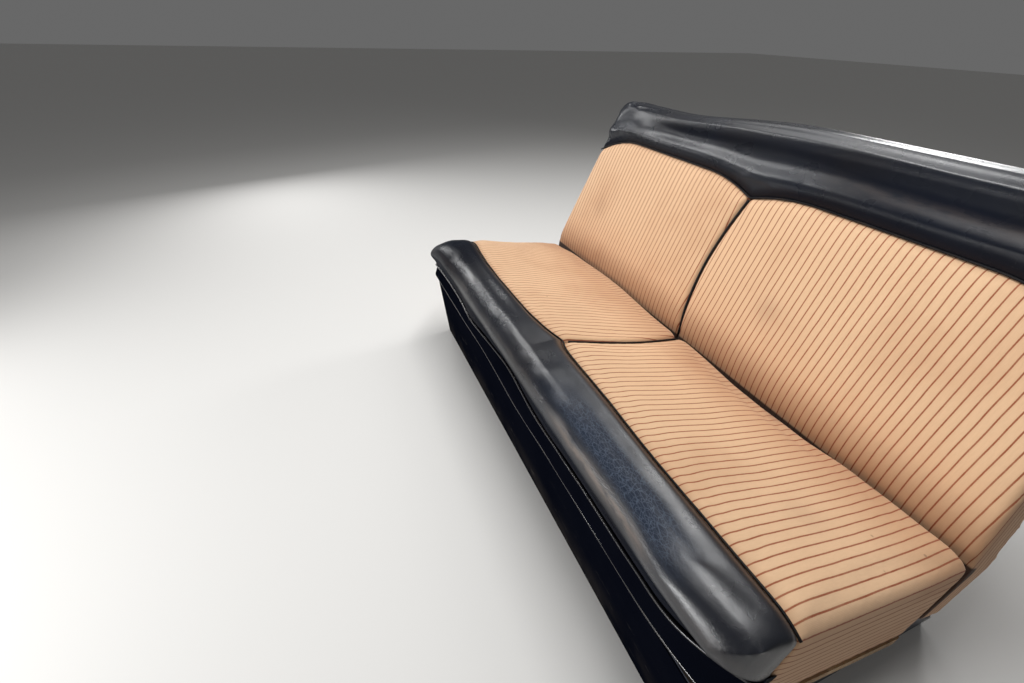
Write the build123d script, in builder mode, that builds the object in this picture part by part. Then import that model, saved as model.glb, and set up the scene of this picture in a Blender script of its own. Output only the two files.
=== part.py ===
"""Rear bench seat of a two-door car on its pressed seat box. Millimetres, +Z up, bench faces -Y."""
import os
from math import atan2, cos, radians, sin, sqrt

from build123d import *

os.makedirs("parts", exist_ok=True)

# Bench as a whole; the crease is the line where squab and cushion meet
bench_width = 1280.0
crease_y = 88.925
crease_height = 258.0
cushion_tilt = 14.0
squab_rake = 19.8
seat_gap = 0.3

# Cushion, measured along its slope from the crease (u) and square to it (v)
cushion_rear_gap = 5.0
cushion_seam_u = 365.0
cushion_nose_reach = 82.0
cushion_crown = 14.0
cushion_thickness = 161.0
pad_edge_radius = 18.0
pad_corner_radius = 22.0
bolster_nose_drop = 58.0
bolster_foot_drop = 113.0
bolster_undercut = 35.0
bolster_end_radius = 55.0
border_thickness = 9.0
border_lean = 17.0
base_thickness = 15.0
base_corner_radius = 12.0
breather_diameter = 25.0

# Squab, measured up its rake from the crease (w) and square to it (n)
squab_skirt = 112.0
squab_seam_w = 371.0
centre_dip = 27.0
centre_dip_run = 150.0
corner_dip = 49.0
corner_dip_run = 168.0
corner_inset = 42.0
squab_crown = 14.0
toe_rise = 8.0
toe_run = 52.0
toe_bend_run = 20.0
toe_bend_depth = 4.8
squab_pad_depth = 80.0
squab_back_depth = 38.0
roll_height = 137.0
roll_end_radius = 52.0
roll_back_radius = 40.0
batten_width = 45.0
batten_depth = 12.0
batten_pitch = 380.0

# Piping
piping_diameter = 6.0
lower_piping_diameter = 5.0

# Brackets and hooks
bracket_width = 40.0
strap_thickness = 3.0
bracket_foot = 40.0
bracket_leg = 60.0
bracket_pitch = 430.0
hook_width = 30.0
hook_plate_w = 232.0
hook_plate = 60.0
hook_reach = 14.0
hook_drop = 22.0
hook_pitch = 760.0

# Seat box of pressed sheet
sheet = 2.0
heel_undercut = 28.0
heel_cover_thickness = 2.5
box_inset = 22.0
flange_width = 30.0
bolt_diameter = 9.0
bolt_inset = 60.0
pan_rear_run = 36.0
shelf_clearance = 3.0
shelf_overhang = 8.0
pan_hole_diameter = 70.0
pan_hole_count = 5
pan_hole_pitch = 240.0
pan_hole_u = 205.0
pan_hole_lip = 6.0
swage_width = 34.0
swage_depth = 6.0
swage_length = 260.0
riser_hole_diameter = 64.0
riser_hole_pitch = 118.0
rear_slot_length = 150.0
rear_slot_height = 44.0

half = bench_width / 2
tilt = radians(cushion_tilt)
rake = radians(squab_rake)
rod = piping_diameter / 2
low_rod = lower_piping_diameter / 2
nose_u = cushion_seam_u + cushion_nose_reach
foot_u = nose_u - bolster_undercut
base_top_v = base_thickness - cushion_thickness
band_low_v = -cushion_thickness + lower_piping_diameter + 2 * seat_gap
band_foot_u = foot_u - border_lean
base_front_u = band_foot_u - border_thickness
lean = atan2(border_lean, band_low_v * -1 - bolster_foot_drop)
squab_back_n = -squab_pad_depth - squab_back_depth
corner_x = half - corner_inset


def on_cushion(u, v):
    """Side view point (y, z) at u forward of the crease and v above the cushion's plane."""
    return (crease_y - u * cos(tilt) + v * sin(tilt), crease_height + u * sin(tilt) + v * cos(tilt))


def on_squab(w, n):
    """Side view point (y, z) at w up from the crease and n in front of the squab's plane."""
    return (crease_y + w * sin(rake) - n * cos(rake), crease_height + w * cos(rake) + n * sin(rake))


def valley(edge_radius, rod_radius):
    """Depth of a rod's centre below two rounded pads that meet under it."""
    return edge_radius - sqrt((edge_radius + rod_radius + seat_gap) ** 2 - edge_radius ** 2)


def draw_squab_seam():
    """Left half of the seam between pads and roll, from the outer corner to the centre."""
    shoulder_x = corner_x - corner_dip_run
    TangentArc((shoulder_x, squab_seam_w), (corner_x, squab_seam_w - corner_dip), tangent=(1, 0))
    Line((shoulder_x, squab_seam_w), (centre_dip_run, squab_seam_w))
    TangentArc((centre_dip_run, squab_seam_w), (0, squab_seam_w - centre_dip), tangent=(-1, 0))


# Each upholstered piece is drawn in its own frame: X along the bench, Z out of the trimmed face
cushion_frame = Plane(origin=(0, crease_y, crease_height), x_dir=(1, 0, 0), z_dir=(0, sin(tilt), cos(tilt)))
squab_frame = Plane(origin=(0, crease_y, crease_height), x_dir=(1, 0, 0), z_dir=(0, -cos(rake), sin(rake)))
cushion_side = Plane(origin=(0, 0, 0), x_dir=(0, -1, 0), z_dir=(-1, 0, 0))
squab_side = Plane(origin=(0, 0, 0), x_dir=(0, 1, 0), z_dir=(1, 0, 0))


def save(part, frame, name):
    """Place a piece drawn in its own frame, name it and write its file."""
    placed = frame.location * part
    placed.label = name
    export_step(placed, f"parts/{name}.step")


# Cushion pads, cloth
with BuildPart() as cushion_pad_left:
    with BuildSketch(Plane.XY.offset(base_top_v)):
        with Locations((half / 2, -(cushion_rear_gap + cushion_seam_u) / 2)):
            Rectangle(half, cushion_seam_u - cushion_rear_gap)
    extrude(amount=cushion_crown - base_top_v)
    fillet(cushion_pad_left.faces().sort_by(Axis.Z)[-1].edges(), pad_edge_radius)
save(cushion_pad_left.part, cushion_frame, "cushion_pad_left")
save(mirror(cushion_pad_left.part, about=Plane.YZ), cushion_frame, "cushion_pad_right")

# Cushion bolster, leather over the front edge
with BuildPart() as cushion_bolster:
    with BuildSketch(cushion_side):
        with BuildLine():
            back = Line((cushion_seam_u, -bolster_foot_drop), (cushion_seam_u, cushion_crown - pad_edge_radius))
            brow = RadiusArc(back @ 1, (cushion_seam_u + pad_edge_radius, cushion_crown), pad_edge_radius)
            nose = ThreePointArc(brow @ 1, (nose_u - 14, -bolster_nose_drop * 0.2), (nose_u, -bolster_nose_drop))
            chin = ThreePointArc(nose @ 1, (nose_u - 9, -bolster_foot_drop * 0.8), (foot_u, -bolster_foot_drop))
            Line(chin @ 1, back @ 0)
        make_face()
    extrude(amount=half, both=True)
    with BuildSketch(Plane.XY.offset(-bolster_foot_drop - 1)):
        with BuildLine():
            rear = Line((0, -cushion_seam_u + 1), (half, -cushion_seam_u + 1))
            end = Line(rear @ 1, (half, -nose_u + bolster_end_radius))
            turn = ThreePointArc(end @ 1, (half - 0.25 * bolster_end_radius, -nose_u + 0.22 * bolster_end_radius),
                                 (half - bolster_end_radius, -nose_u - 4))
            Line(turn @ 1, (0, -nose_u - 4))
            mirror(about=Plane.YZ)
        make_face()
    extrude(amount=cushion_crown + bolster_foot_drop + 2, mode=Mode.INTERSECT)
save(cushion_bolster.part, cushion_frame, "cushion_bolster")

# Border band under the bolster, between the two lower pipings
with BuildPart() as cushion_border:
    with BuildSketch(cushion_side):
        with BuildLine():
            Polyline((cushion_seam_u, -bolster_foot_drop), (foot_u, -bolster_foot_drop), (band_foot_u, band_low_v),
                     (base_front_u, band_low_v), (base_front_u, base_top_v), (cushion_seam_u, base_top_v), close=True)
        make_face()
    extrude(amount=half, both=True)
save(cushion_border.part, cushion_frame, "cushion_border")

# Cushion base, a plywood board with breather holes over the pan's holes
with BuildPart() as cushion_base:
    with BuildSketch(Plane.XY.offset(-cushion_thickness)):
        with Locations((0, -(cushion_rear_gap + base_front_u) / 2)):
            RectangleRounded(bench_width, base_front_u - cushion_rear_gap, base_corner_radius)
        with Locations((0, -pan_hole_u)):
            with GridLocations(pan_hole_pitch, 0, pan_hole_count, 1):
                Circle(breather_diameter / 2, mode=Mode.SUBTRACT)
    extrude(amount=base_thickness)
save(cushion_base.part, cushion_frame, "cushion_base")

# Cushion piping: the seam's, the centre's and the two below the bolster
seam_v = cushion_crown - valley(pad_edge_radius, rod)
straight_piping = (
    # name, u, v, radius
    ("cushion_seam_piping", cushion_seam_u, seam_v, rod),
    ("bolster_piping", foot_u + (low_rod + seat_gap - low_rod * sin(lean)) / cos(lean), -bolster_foot_drop - low_rod,
     low_rod),
    ("border_piping", base_front_u + low_rod + seat_gap, band_low_v - low_rod - seat_gap, low_rod),
)
for name, u, v, radius in straight_piping:
    with BuildPart() as piping:
        with BuildSketch(cushion_side):
            with Locations((u, v)):
                Circle(radius)
        extrude(amount=half, both=True)
    save(piping.part, cushion_frame, name)

with BuildPart() as cushion_centre_piping:
    with BuildSketch(Plane.XZ.offset(cushion_rear_gap + pad_edge_radius)):
        with Locations((0, seam_v)):
            Circle(rod)
    extrude(amount=cushion_seam_u - cushion_rear_gap - pad_edge_radius - rod - seat_gap)
save(cushion_centre_piping.part, cushion_frame, "cushion_centre_piping")

# Squab pads, cloth
toe_slope = sin(rake - tilt)
with BuildPart() as squab_pad_left:
    with BuildSketch(Plane.XY.offset(-squab_pad_depth)):
        with BuildLine():
            draw_squab_seam()
            Polyline((0, squab_seam_w - centre_dip), (0, -squab_skirt), (half, -squab_skirt), (half, 0),
                     (corner_x, squab_seam_w - corner_dip))
        make_face()
    extrude(amount=squab_pad_depth + squab_crown)
    outer_corner = squab_pad_left.edges().filter_by(Axis.Z).sort_by_distance((corner_x, squab_seam_w, 0))[0]
    fillet(outer_corner, pad_corner_radius)
    fillet(squab_pad_left.faces().sort_by(Axis.Z)[-1].edges(), pad_edge_radius)
    with BuildSketch(squab_side):
        with BuildLine():
            skirt = Line((-squab_skirt - 1, -(squab_skirt + 1) * toe_slope), (toe_rise, toe_rise * toe_slope))
            bend = Line(skirt @ 1, (toe_rise + toe_bend_run, squab_crown - toe_bend_depth))
            lift = Line(bend @ 1, (toe_rise + toe_run, squab_crown + 1))
            Polyline(lift @ 1, (toe_rise + toe_run, squab_crown + 9), (-squab_skirt - 1, squab_crown + 9), skirt @ 0)
        make_face()
    extrude(amount=half + 1, both=True, mode=Mode.SUBTRACT)
save(squab_pad_left.part, squab_frame, "squab_pad_left")
save(mirror(squab_pad_left.part, about=Plane.YZ), squab_frame, "squab_pad_right")

# Top roll, leather over the squab's top
with BuildPart() as squab_top_roll:
    with BuildSketch(Plane.XY.offset(squab_back_n)):
        with BuildLine():
            draw_squab_seam()
            top_w = squab_seam_w + roll_height
            rise = Line((corner_x, squab_seam_w - corner_dip), (corner_x, top_w - roll_end_radius))
            shoulder = RadiusArc(rise @ 1, (corner_x - roll_end_radius, top_w), -roll_end_radius)
            Line(shoulder @ 1, (0, top_w))
            mirror(about=Plane.YZ)
        make_face()
    extrude(amount=squab_crown - squab_back_n)
    fillet(squab_top_roll.faces().sort_by(Axis.Z)[-1].edges(), pad_edge_radius)
    rear_edges = squab_top_roll.faces().sort_by(Axis.Z)[0].edges()
    fillet(rear_edges.filter_by(lambda e: (e @ 0.5).Y > top_w - roll_end_radius), roll_back_radius)
save(squab_top_roll.part, squab_frame, "squab_top_roll")

# Squab piping
seam_n = squab_crown - valley(pad_edge_radius, rod)
with BuildPart() as squab_seam_piping:
    with BuildLine(Plane.XY) as seam_path:
        draw_squab_seam()
    with BuildSketch(Plane(seam_path.wire() @ 0, z_dir=seam_path.wire() % 0)):
        RegularPolygon(rod, 8)
    sweep(path=seam_path.wire())
    mirror(about=Plane.YZ)
save(squab_seam_piping.part, squab_frame.offset(seam_n), "squab_seam_piping")

centre_piping_run = squab_seam_w - centre_dip - toe_rise - toe_bend_run - piping_diameter
with BuildPart() as squab_centre_piping:
    with BuildSketch(Plane.XZ.offset(-toe_rise - toe_bend_run)):
        with Locations((0, seam_n)):
            Circle(rod)
    extrude(amount=-centre_piping_run)
save(squab_centre_piping.part, squab_frame, "squab_centre_piping")

# Squab back, hardboard over a closed timber frame, with battens
back_low_w = -squab_skirt + 8
with BuildPart() as squab_back:
    with BuildSketch(Plane.XY.offset(squab_back_n)):
        with BuildLine():
            draw_squab_seam()
            Polyline((corner_x, squab_seam_w - corner_dip), (corner_x, back_low_w), (0, back_low_w))
            mirror(about=Plane.YZ)
        make_face()
    extrude(amount=squab_back_depth)
save(squab_back.part, squab_frame, "squab_back")

with BuildPart() as squab_battens:
    with BuildSketch(Plane.XY.offset(squab_back_n)):
        with Locations((0, (back_low_w + bracket_leg + hook_plate_w) / 2 + 10)):
            with GridLocations(batten_pitch, 0, 3, 1):
                Rectangle(batten_width, hook_plate_w - back_low_w - bracket_leg - 40)
    extrude(amount=-batten_depth)
    battens_rear = squab_battens.faces().filter_by(Axis.Z).group_by(Axis.Z)[0]
    chamfer(battens_rear.edges(), batten_depth / 4)
save(squab_battens.part, squab_frame, "squab_battens")

# Angle brackets hold the squab's foot on the box
shelf_z = on_squab(back_low_w, squab_back_n)[1] - shelf_clearance
foot_w = (shelf_z - crease_height - squab_back_n * sin(rake)) / cos(rake)
foot_y = on_squab(foot_w, squab_back_n)[0]
with BuildPart() as bracket:
    with BuildSketch(Plane.YZ.offset(-bracket_width / 2)):
        with BuildLine():
            Polyline((foot_y + bracket_foot, shelf_z), (foot_y, shelf_z), on_squab(foot_w + bracket_leg, squab_back_n))
            offset(amount=strap_thickness, side=Side.RIGHT)
        make_face()
    extrude(amount=bracket_width)
with BuildPart() as squab_brackets:
    with Locations((-bracket_pitch, 0, 0), (0, 0, 0), (bracket_pitch, 0, 0)):
        add(bracket.part)
save(squab_brackets.part, Plane.XY, "squab_brackets")

# Hooks hang the squab's top on the bulkhead
with BuildPart() as hook:
    with BuildSketch(Plane.YZ.offset(-hook_width / 2)):
        with BuildLine():
            hook_top_w = hook_plate_w + hook_plate
            Polyline(on_squab(hook_plate_w, squab_back_n), on_squab(hook_top_w, squab_back_n),
                     on_squab(hook_top_w + hook_reach * 0.4, squab_back_n - hook_reach),
                     on_squab(hook_top_w - hook_drop, squab_back_n - hook_reach))
            offset(amount=strap_thickness, side=Side.RIGHT)
        make_face()
    extrude(amount=hook_width)
with BuildPart() as squab_hooks:
    with Locations((-hook_pitch / 2, 0, 0), (hook_pitch / 2, 0, 0)):
        add(hook.part)
save(squab_hooks.part, Plane.XY, "squab_hooks")

# Seat pan, one pressing with flanged holes and swages sunk between them
box_half = half - box_inset
bolt_x = box_half - bolt_inset
pan_front = on_cushion(band_foot_u, -cushion_thickness)
pan_rear = on_cushion(-pan_rear_run, -cushion_thickness)
heel_top = on_cushion(band_foot_u, -cushion_thickness - sheet)
shelf_y = pan_rear[0] + 4
rear_y = foot_y + bracket_foot + shelf_overhang
pan_frame = cushion_frame.offset(-cushion_thickness)
with BuildPart() as seat_pan:
    with BuildSketch(Plane.YZ.offset(-box_half)):
        with BuildLine():
            Polyline(pan_front, pan_rear, (shelf_y, shelf_z), (rear_y, shelf_z))
            offset(amount=sheet, side=Side.RIGHT)
        make_face()
    extrude(amount=2 * box_half)
    with BuildSketch(pan_frame.offset(-sheet)):
        with Locations((0, -pan_hole_u)):
            with GridLocations(pan_hole_pitch, 0, pan_hole_count, 1):
                Circle(pan_hole_diameter / 2 + sheet)
    extrude(amount=-pan_hole_lip)
    with BuildSketch(pan_frame):
        with Locations((0, -pan_hole_u)):
            with GridLocations(pan_hole_pitch, 0, pan_hole_count, 1):
                Circle(pan_hole_diameter / 2)
    extrude(amount=-pan_hole_lip - 2 * sheet, mode=Mode.SUBTRACT)
    with BuildSketch(pan_frame.offset(-sheet)):
        with Locations((0, -pan_hole_u)):
            with GridLocations(pan_hole_pitch, 0, pan_hole_count - 1, 1):
                SlotOverall(swage_length, swage_width, rotation=90)
    extrude(amount=-swage_depth)
    with BuildSketch(pan_frame):
        with Locations((0, -pan_hole_u)):
            with GridLocations(pan_hole_pitch, 0, pan_hole_count - 1, 1):
                SlotOverall(swage_length - 2 * sheet, swage_width - 2 * sheet, rotation=90)
    extrude(amount=-swage_depth, mode=Mode.SUBTRACT)
save(seat_pan.part, Plane.XY, "seat_pan")

# Heel board with its floor flange, and the cover on its front
heel_foot_y = heel_top[0] + heel_undercut
with BuildPart() as heel_board:
    with BuildSketch(Plane.YZ.offset(-box_half)):
        with BuildLine():
            Polyline(on_cushion(band_foot_u - flange_width, -cushion_thickness - sheet), heel_top,
                     (heel_foot_y, 0), (heel_foot_y + flange_width, 0))
            offset(amount=sheet, side=Side.LEFT)
        make_face()
    extrude(amount=2 * box_half)
    with Locations((-bolt_x, heel_foot_y + flange_width / 2, 0), (bolt_x, heel_foot_y + flange_width / 2, 0)):
        Cylinder(bolt_diameter / 2, 4 * sheet, mode=Mode.SUBTRACT)
save(heel_board.part, Plane.XY, "heel_board")

with BuildPart() as heel_cover:
    with BuildSketch(Plane.YZ.offset(-box_half)):
        with BuildLine():
            Line(heel_top, (heel_foot_y, 0))
            offset(amount=heel_cover_thickness, side=Side.RIGHT)
        make_face()
    extrude(amount=2 * box_half)
    with Locations((0, heel_foot_y, -10)):
        Box(4 * box_half, 100, 20, mode=Mode.SUBTRACT)
save(heel_cover.part, Plane.XY, "heel_cover")

# Side risers close the box, each with lightening holes and a floor flange turned inward
riser_mid_y = (heel_foot_y + rear_y) / 2
with BuildPart() as side_riser_left:
    with BuildSketch(Plane.YZ.offset(box_half)):
        with BuildLine():
            Polyline(heel_top, pan_front, pan_rear, (shelf_y, shelf_z), (rear_y, shelf_z), (rear_y, 0),
                     (heel_foot_y, 0), close=True)
        make_face()
        with Locations((riser_mid_y, shelf_z / 2)):
            with GridLocations(riser_hole_pitch, 0, 4, 1):
                Circle(riser_hole_diameter / 2, mode=Mode.SUBTRACT)
    extrude(amount=sheet)
    with BuildSketch(Plane.XY):
        with Locations((box_half + sheet - flange_width / 2, riser_mid_y)):
            Rectangle(flange_width, rear_y - heel_foot_y - 4 * flange_width)
    extrude(amount=sheet)
save(side_riser_left.part, Plane.XY, "side_riser_left")
save(mirror(side_riser_left.part, about=Plane.YZ), Plane.XY, "side_riser_right")

# Rear panel with lightening slots and a floor flange
with BuildPart() as rear_panel:
    with BuildSketch(Plane.YZ.offset(-box_half)):
        with BuildLine():
            Polyline((rear_y, shelf_z), (rear_y, 0), (rear_y + flange_width, 0))
            offset(amount=sheet, side=Side.LEFT)
        make_face()
    extrude(amount=2 * box_half)
    with BuildSketch(Plane.XZ.offset(-rear_y)):
        with Locations((0, shelf_z / 2)):
            with GridLocations(pan_hole_pitch, 0, pan_hole_count - 1, 1):
                SlotOverall(rear_slot_length, rear_slot_height)
    extrude(amount=-2 * sheet, mode=Mode.SUBTRACT)
    with Locations((-bolt_x, rear_y + flange_width / 2, 0), (bolt_x, rear_y + flange_width / 2, 0)):
        Cylinder(bolt_diameter / 2, 4 * sheet, mode=Mode.SUBTRACT)
save(rear_panel.part, Plane.XY, "rear_panel")
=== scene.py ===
"""Rear bench seat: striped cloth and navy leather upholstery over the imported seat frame."""

import math

import bpy
import numpy as np
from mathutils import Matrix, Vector, noise


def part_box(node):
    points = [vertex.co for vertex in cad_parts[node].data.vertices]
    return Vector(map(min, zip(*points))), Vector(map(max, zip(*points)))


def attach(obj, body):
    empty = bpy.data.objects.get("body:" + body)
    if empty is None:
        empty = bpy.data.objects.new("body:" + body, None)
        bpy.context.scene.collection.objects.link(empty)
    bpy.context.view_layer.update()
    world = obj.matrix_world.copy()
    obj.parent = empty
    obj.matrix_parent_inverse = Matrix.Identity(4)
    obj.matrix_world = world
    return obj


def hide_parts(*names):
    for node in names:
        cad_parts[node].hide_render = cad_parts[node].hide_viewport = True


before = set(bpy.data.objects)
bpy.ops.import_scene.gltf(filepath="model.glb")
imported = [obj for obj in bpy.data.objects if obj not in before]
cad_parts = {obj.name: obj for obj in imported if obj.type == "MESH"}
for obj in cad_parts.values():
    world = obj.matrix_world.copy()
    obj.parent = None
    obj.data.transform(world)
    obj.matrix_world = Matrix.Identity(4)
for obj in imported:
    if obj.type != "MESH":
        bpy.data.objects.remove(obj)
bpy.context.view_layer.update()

bl_info = {
    "name": "Rear Bench Seat",
    "version": (1, 0, 0),
    "blender": (4, 5, 0),
    "location": "View3D > Sidebar > Bench Seat",
    "description": "Upholsters a packed rear bench seat in striped cloth and leather",
    "category": "Object",
}


# Sizes and colours

def length(name, about, value):
    return bpy.props.FloatProperty(name=name, description=about, default=value, unit="LENGTH")


def tint(name, about, value):
    return bpy.props.FloatVectorProperty(name=name, description=about, size=3, default=value,
                                         subtype="COLOR")


class BenchSizes(bpy.types.PropertyGroup):
    half_width: length("Half width", "From the middle to an end of the bench",
                       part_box("cushion_pad_left")[1].x)
    crease_y: length("Crease Y", "Where squab and cushion meet", 0.088925)
    crease_z: length("Crease height", "Height of the crease above the floor", 0.258)
    cushion_tilt: bpy.props.FloatProperty(
        name="Cushion tilt", description="Slope of the cushion's top",
        default=math.radians(14), subtype="ANGLE")
    squab_rake: bpy.props.FloatProperty(
        name="Squab rake", description="Lean of the squab from upright",
        default=math.radians(19.8), subtype="ANGLE")
    cushion_seam: length("Cushion seam", "Crease to bolster seam along the cushion", 0.365)
    cushion_nose: length("Cushion nose", "Crease to the bolster's nose", 0.447)
    squab_seam: length("Squab seam", "Crease to roll seam up the squab", 0.371)
    centre_dip: length("Centre dip", "Drop of the roll seam at the middle", 0.027)
    centre_run: length("Centre run", "Half width of the middle dip", 0.15)
    corner_dip: length("Corner dip", "Drop of the roll seam at the ends", 0.049)
    corner_run: length("Corner run", "Length of the bend at the ends", 0.168)
    corner_x: length("Corner X", "Middle to the squab's top corner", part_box("squab_top_roll")[1].x)
    seam_level: length("Seam level", "Piping centre above the trimmed plane", 0.0072)
    piping_radius: length("Piping radius", "Radius of the seam piping", 0.0018)
    low_piping_radius: length("Lower piping radius", "Radius of the bolster piping", 0.0025)
    cushion_middle_radius: length("Cushion middle piping", "Radius of the piping down the cushion's middle",
                                  0.00252)
    squab_middle_radius: length("Squab middle piping", "Radius of the piping up the squab's middle",
                                0.00288)
    middle_sink: length("Middle sink", "How much lower the middle pipings lie", 0.0016)
    chin_run: length("Chin run", "Crease to the piping under the bolster", 0.4148)
    foot_run: length("Foot run", "Crease to the piping under the border", 0.3905)
    end_droop: length("End droop", "Drop of the cushion's top at its far end", 0.055)
    nip_x: length("Nip X", "Where the centre piping meets the bolster seam", 0.042)
    nip_depth: length("Nip depth", "How far the bolster seam is drawn in there", 0.027)
    chin_level: length("Chin level", "Level of the piping under the bolster", -0.1155)
    foot_level: length("Foot level", "Level of the piping under the border", -0.1578)
    roll_height: length("Roll height", "Height of the roll above its seam", 0.137)
    stripe_pitch: length("Stripe pitch", "Distance between stripes", 0.014)
    stripe_width: length("Stripe width", "Width of a stripe", 0.0019)
    pad_voxel: length("Pad mesh size", "Voxel size of the pads and the roll", 0.007)
    front_voxel: length("Front mesh size", "Voxel size of the bolster and the border", 0.006)


class BenchColours(bpy.types.PropertyGroup):
    ground: tint("Cloth ground", "Cloth between stripes", (0.74, 0.50, 0.31))
    # ground_deep is also the colour of the cloth's painted shade along its seams and towards the crease
    ground_deep: tint("Cloth, soiled", "Cloth where it is soiled", (0.56, 0.33, 0.19))
    stripe: tint("Stripe", "Rust stripe", (0.27, 0.058, 0.020))
    navy: tint("Leather", "Navy leather", (0.006, 0.008, 0.014))
    worn: tint("Worn leather", "Leather with its dye rubbed off", (0.105, 0.080, 0.066))
    crack: tint("Leather crack", "Fine cracks in the finish", (0.060, 0.080, 0.112))
    piping: tint("Piping", "Leather piping", (0.008, 0.008, 0.010))
    floor: tint("Floor", "Floor and backdrop", (0.72, 0.71, 0.69))


def sizes():
    return bpy.context.scene.bench_sizes


def colours():
    return bpy.context.scene.bench_colours


# Places on the bench

def trim_frame(kind):
    """Origin and axes of the cushion's or the squab's trimmed plane, as columns."""
    s = sizes()
    origin = np.array((0.0, s.crease_y, s.crease_z))
    if kind == "cushion":
        c, n = math.cos(s.cushion_tilt), math.sin(s.cushion_tilt)
        axes = np.array(((1, 0, 0), (0, c, n), (0, -n, c)), float)
    else:
        c, n = math.cos(s.squab_rake), math.sin(s.squab_rake)
        axes = np.array(((1, 0, 0), (0, n, -c), (0, c, n)), float)
    return origin, axes


def to_trim(points, kind):
    origin, axes = trim_frame(kind)
    return (points - origin) @ axes


def from_trim(points, kind):
    origin, axes = trim_frame(kind)
    return points @ axes.T + origin


def ease(low, high, value):
    """0 at low, 1 at high, smooth between; low may be the larger."""
    t = np.clip((value - low) / (high - low), 0, 1)
    return t * t * (3 - 2 * t)


def hump(value, centre, spread):
    """1 at the centre, falling smoothly to 0 on both sides."""
    return np.exp(-((value - centre) / spread) ** 2)


# Place along the bench, spread and shift of each wave in an edge
CHIN_WAVES = ((-0.27, 0.08, 0.008), (-0.05, 0.09, -0.009), (0.15, 0.07, 0.003))
FOOT_WAVES = ((0.05, 0.09, 0.004), (-0.20, 0.10, -0.004))
CREASE_WAVES = ((-0.30, 0.15, 0.010), (0.24, 0.12, -0.005))


def waves(x, rows):
    return sum(shift * hump(x, place, spread) for place, spread, shift in rows)


def cushion_seam_at(x):
    """Run of the bolster seam: rounded in at the far end, nipped in where the centre piping meets it."""
    s = sizes()
    left = 0.007 - s.nip_depth * np.exp(-(np.clip(s.nip_x - x, 0, 1) / 0.06) ** 1.2)
    right = 0.009 * ease(0.18, 0.40, x) - 0.006
    right -= (s.nip_depth - 0.013) * np.exp(-np.clip(x - s.nip_x, 0, 1) / 0.022)
    far = -0.020 * np.clip((-x - 0.25) / 0.24, 0, 1.45) ** 2
    return s.cushion_seam + np.where(x < s.nip_x, left, right) + far


def lower_piping_at(x):
    """Run and rise of the piping under the bolster, against its place when new."""
    turn = np.clip((x - 0.495) / 0.145, 0, 1) ** 2
    return waves(x, CHIN_WAVES) - 0.0065 - 0.028 * turn, 0.036 * turn


def border_foot_at(x):
    """Run and rise of the piping under the border, against its place when new."""
    turn = np.clip((x - 0.47) / 0.17, 0, 1) ** 2
    return waves(x, FOOT_WAVES) + 0.013 - 0.018 * turn, 0.012 * turn


# How far the squab's ends lean in, and over what height above the crease
SHOULDER_INSET = 0.042
SHOULDER_HEIGHT = 0.322


def squab_edge_at(w):
    """Half width of the squab at a distance up from the crease."""
    return sizes().half_width - SHOULDER_INSET * np.clip(w / SHOULDER_HEIGHT, 0, 1)


def squab_seam_at(x):
    """Run of the roll seam, rounded down at the ends and dipped at the middle."""
    s = sizes()
    a = np.abs(x)
    inner = np.clip((s.centre_run - a) / s.centre_run, 0, 1)
    outer = np.clip((a - (s.corner_x - s.corner_run)) / s.corner_run, 0, 1)
    return s.squab_seam - s.centre_dip * inner ** 2 - s.corner_dip * outer ** 2


def settle_cushion(local):
    """Cushion points moved to the worn shape: leaning centre seam, wandering edges and drooping ends."""
    s = sizes()
    x, u, v = local[:, 0], -local[:, 1], local[:, 2]

    # the centre seam leans to the near side, and the bolster seam wanders
    lean = 0.011 + 0.030 * np.sin(np.clip(u / 0.25, 0, 1) * math.pi / 2)
    x = x + lean * hump(x, 0.0, 0.22) * ease(-0.12, -0.02, v)
    seam = cushion_seam_at(x)
    behind = u * seam / s.cushion_seam
    ahead = seam + (u - s.cushion_seam) * (s.cushion_nose - seam) / (s.cushion_nose - s.cushion_seam)
    moved = np.where(u < s.cushion_seam, behind, ahead)
    new_u = u + (moved - u) * ease(-0.10, -0.03, v)

    # the front follows its two lower pipings, drawn in at the chin and full at the near nose
    front = ease(0.366, 0.400, u)
    chin_run, chin_rise = lower_piping_at(x)
    foot_run, foot_rise = border_foot_at(x)
    low = np.clip((s.chin_level - v) / (s.chin_level - s.foot_level), 0, 1)
    under = ease(-0.045, s.chin_level, v)
    new_u += front * under * (chin_run * (1 - low) + foot_run * low)
    held = ease(s.chin_level, s.chin_level + 0.016, v)
    new_u -= 0.013 * front * hump(v, -0.088, 0.024) * held
    new_u += 0.012 * front * hump(x, 0.53, 0.07) * hump(v, -0.025, 0.030)
    new_u -= 0.003 * front * ease(0.42, 0.56, x) * hump(v, -0.085, 0.026) * held

    # the ends droop, the far one deeply, and the rear edge rises and dips along the crease
    far = s.end_droop * np.clip((-x - 0.46) / 0.18, 0, 1) ** 2
    far += 0.010 * np.clip((x - 0.60) / 0.04, 0, 1) ** 2
    reach = 0.10 + 0.90 * np.clip(u / 0.365, 0, 1)
    new_v = v - far * reach * ease(-0.15, 0.0, v)
    new_v += front * under * (chin_rise * (1 - low) + foot_rise * low)
    back = ease(0.10, 0.0, u) * ease(-0.04, 0.0, v)
    new_v += back * (waves(x, CREASE_WAVES) + 0.007 * ease(0.36, 0.47, x) - 0.007 * ease(-0.47, -0.60, x))
    return np.stack((x, -new_u, new_v), 1)


def settle_squab(local):
    """Squab points moved to the worn shape: the centre seam bows, the far end of the roll has sunk."""
    s = sizes()
    x, w, n = local[:, 0], local[:, 1], local[:, 2]
    bow = 0.004 + 0.023 * np.sin(math.pi * np.clip((w - 0.02) / 0.33, 0, 1))
    new_x = x - bow * hump(x, 0.0, 0.20) * ease(-0.08, -0.02, n)
    above = np.clip((w - squab_seam_at(x)) / s.roll_height, 0, 1)
    sunk = 0.028 * ease(0.05, -0.35, x)
    return np.stack((new_x, w - sunk * above, n), 1)


# Modelling helpers

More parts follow.
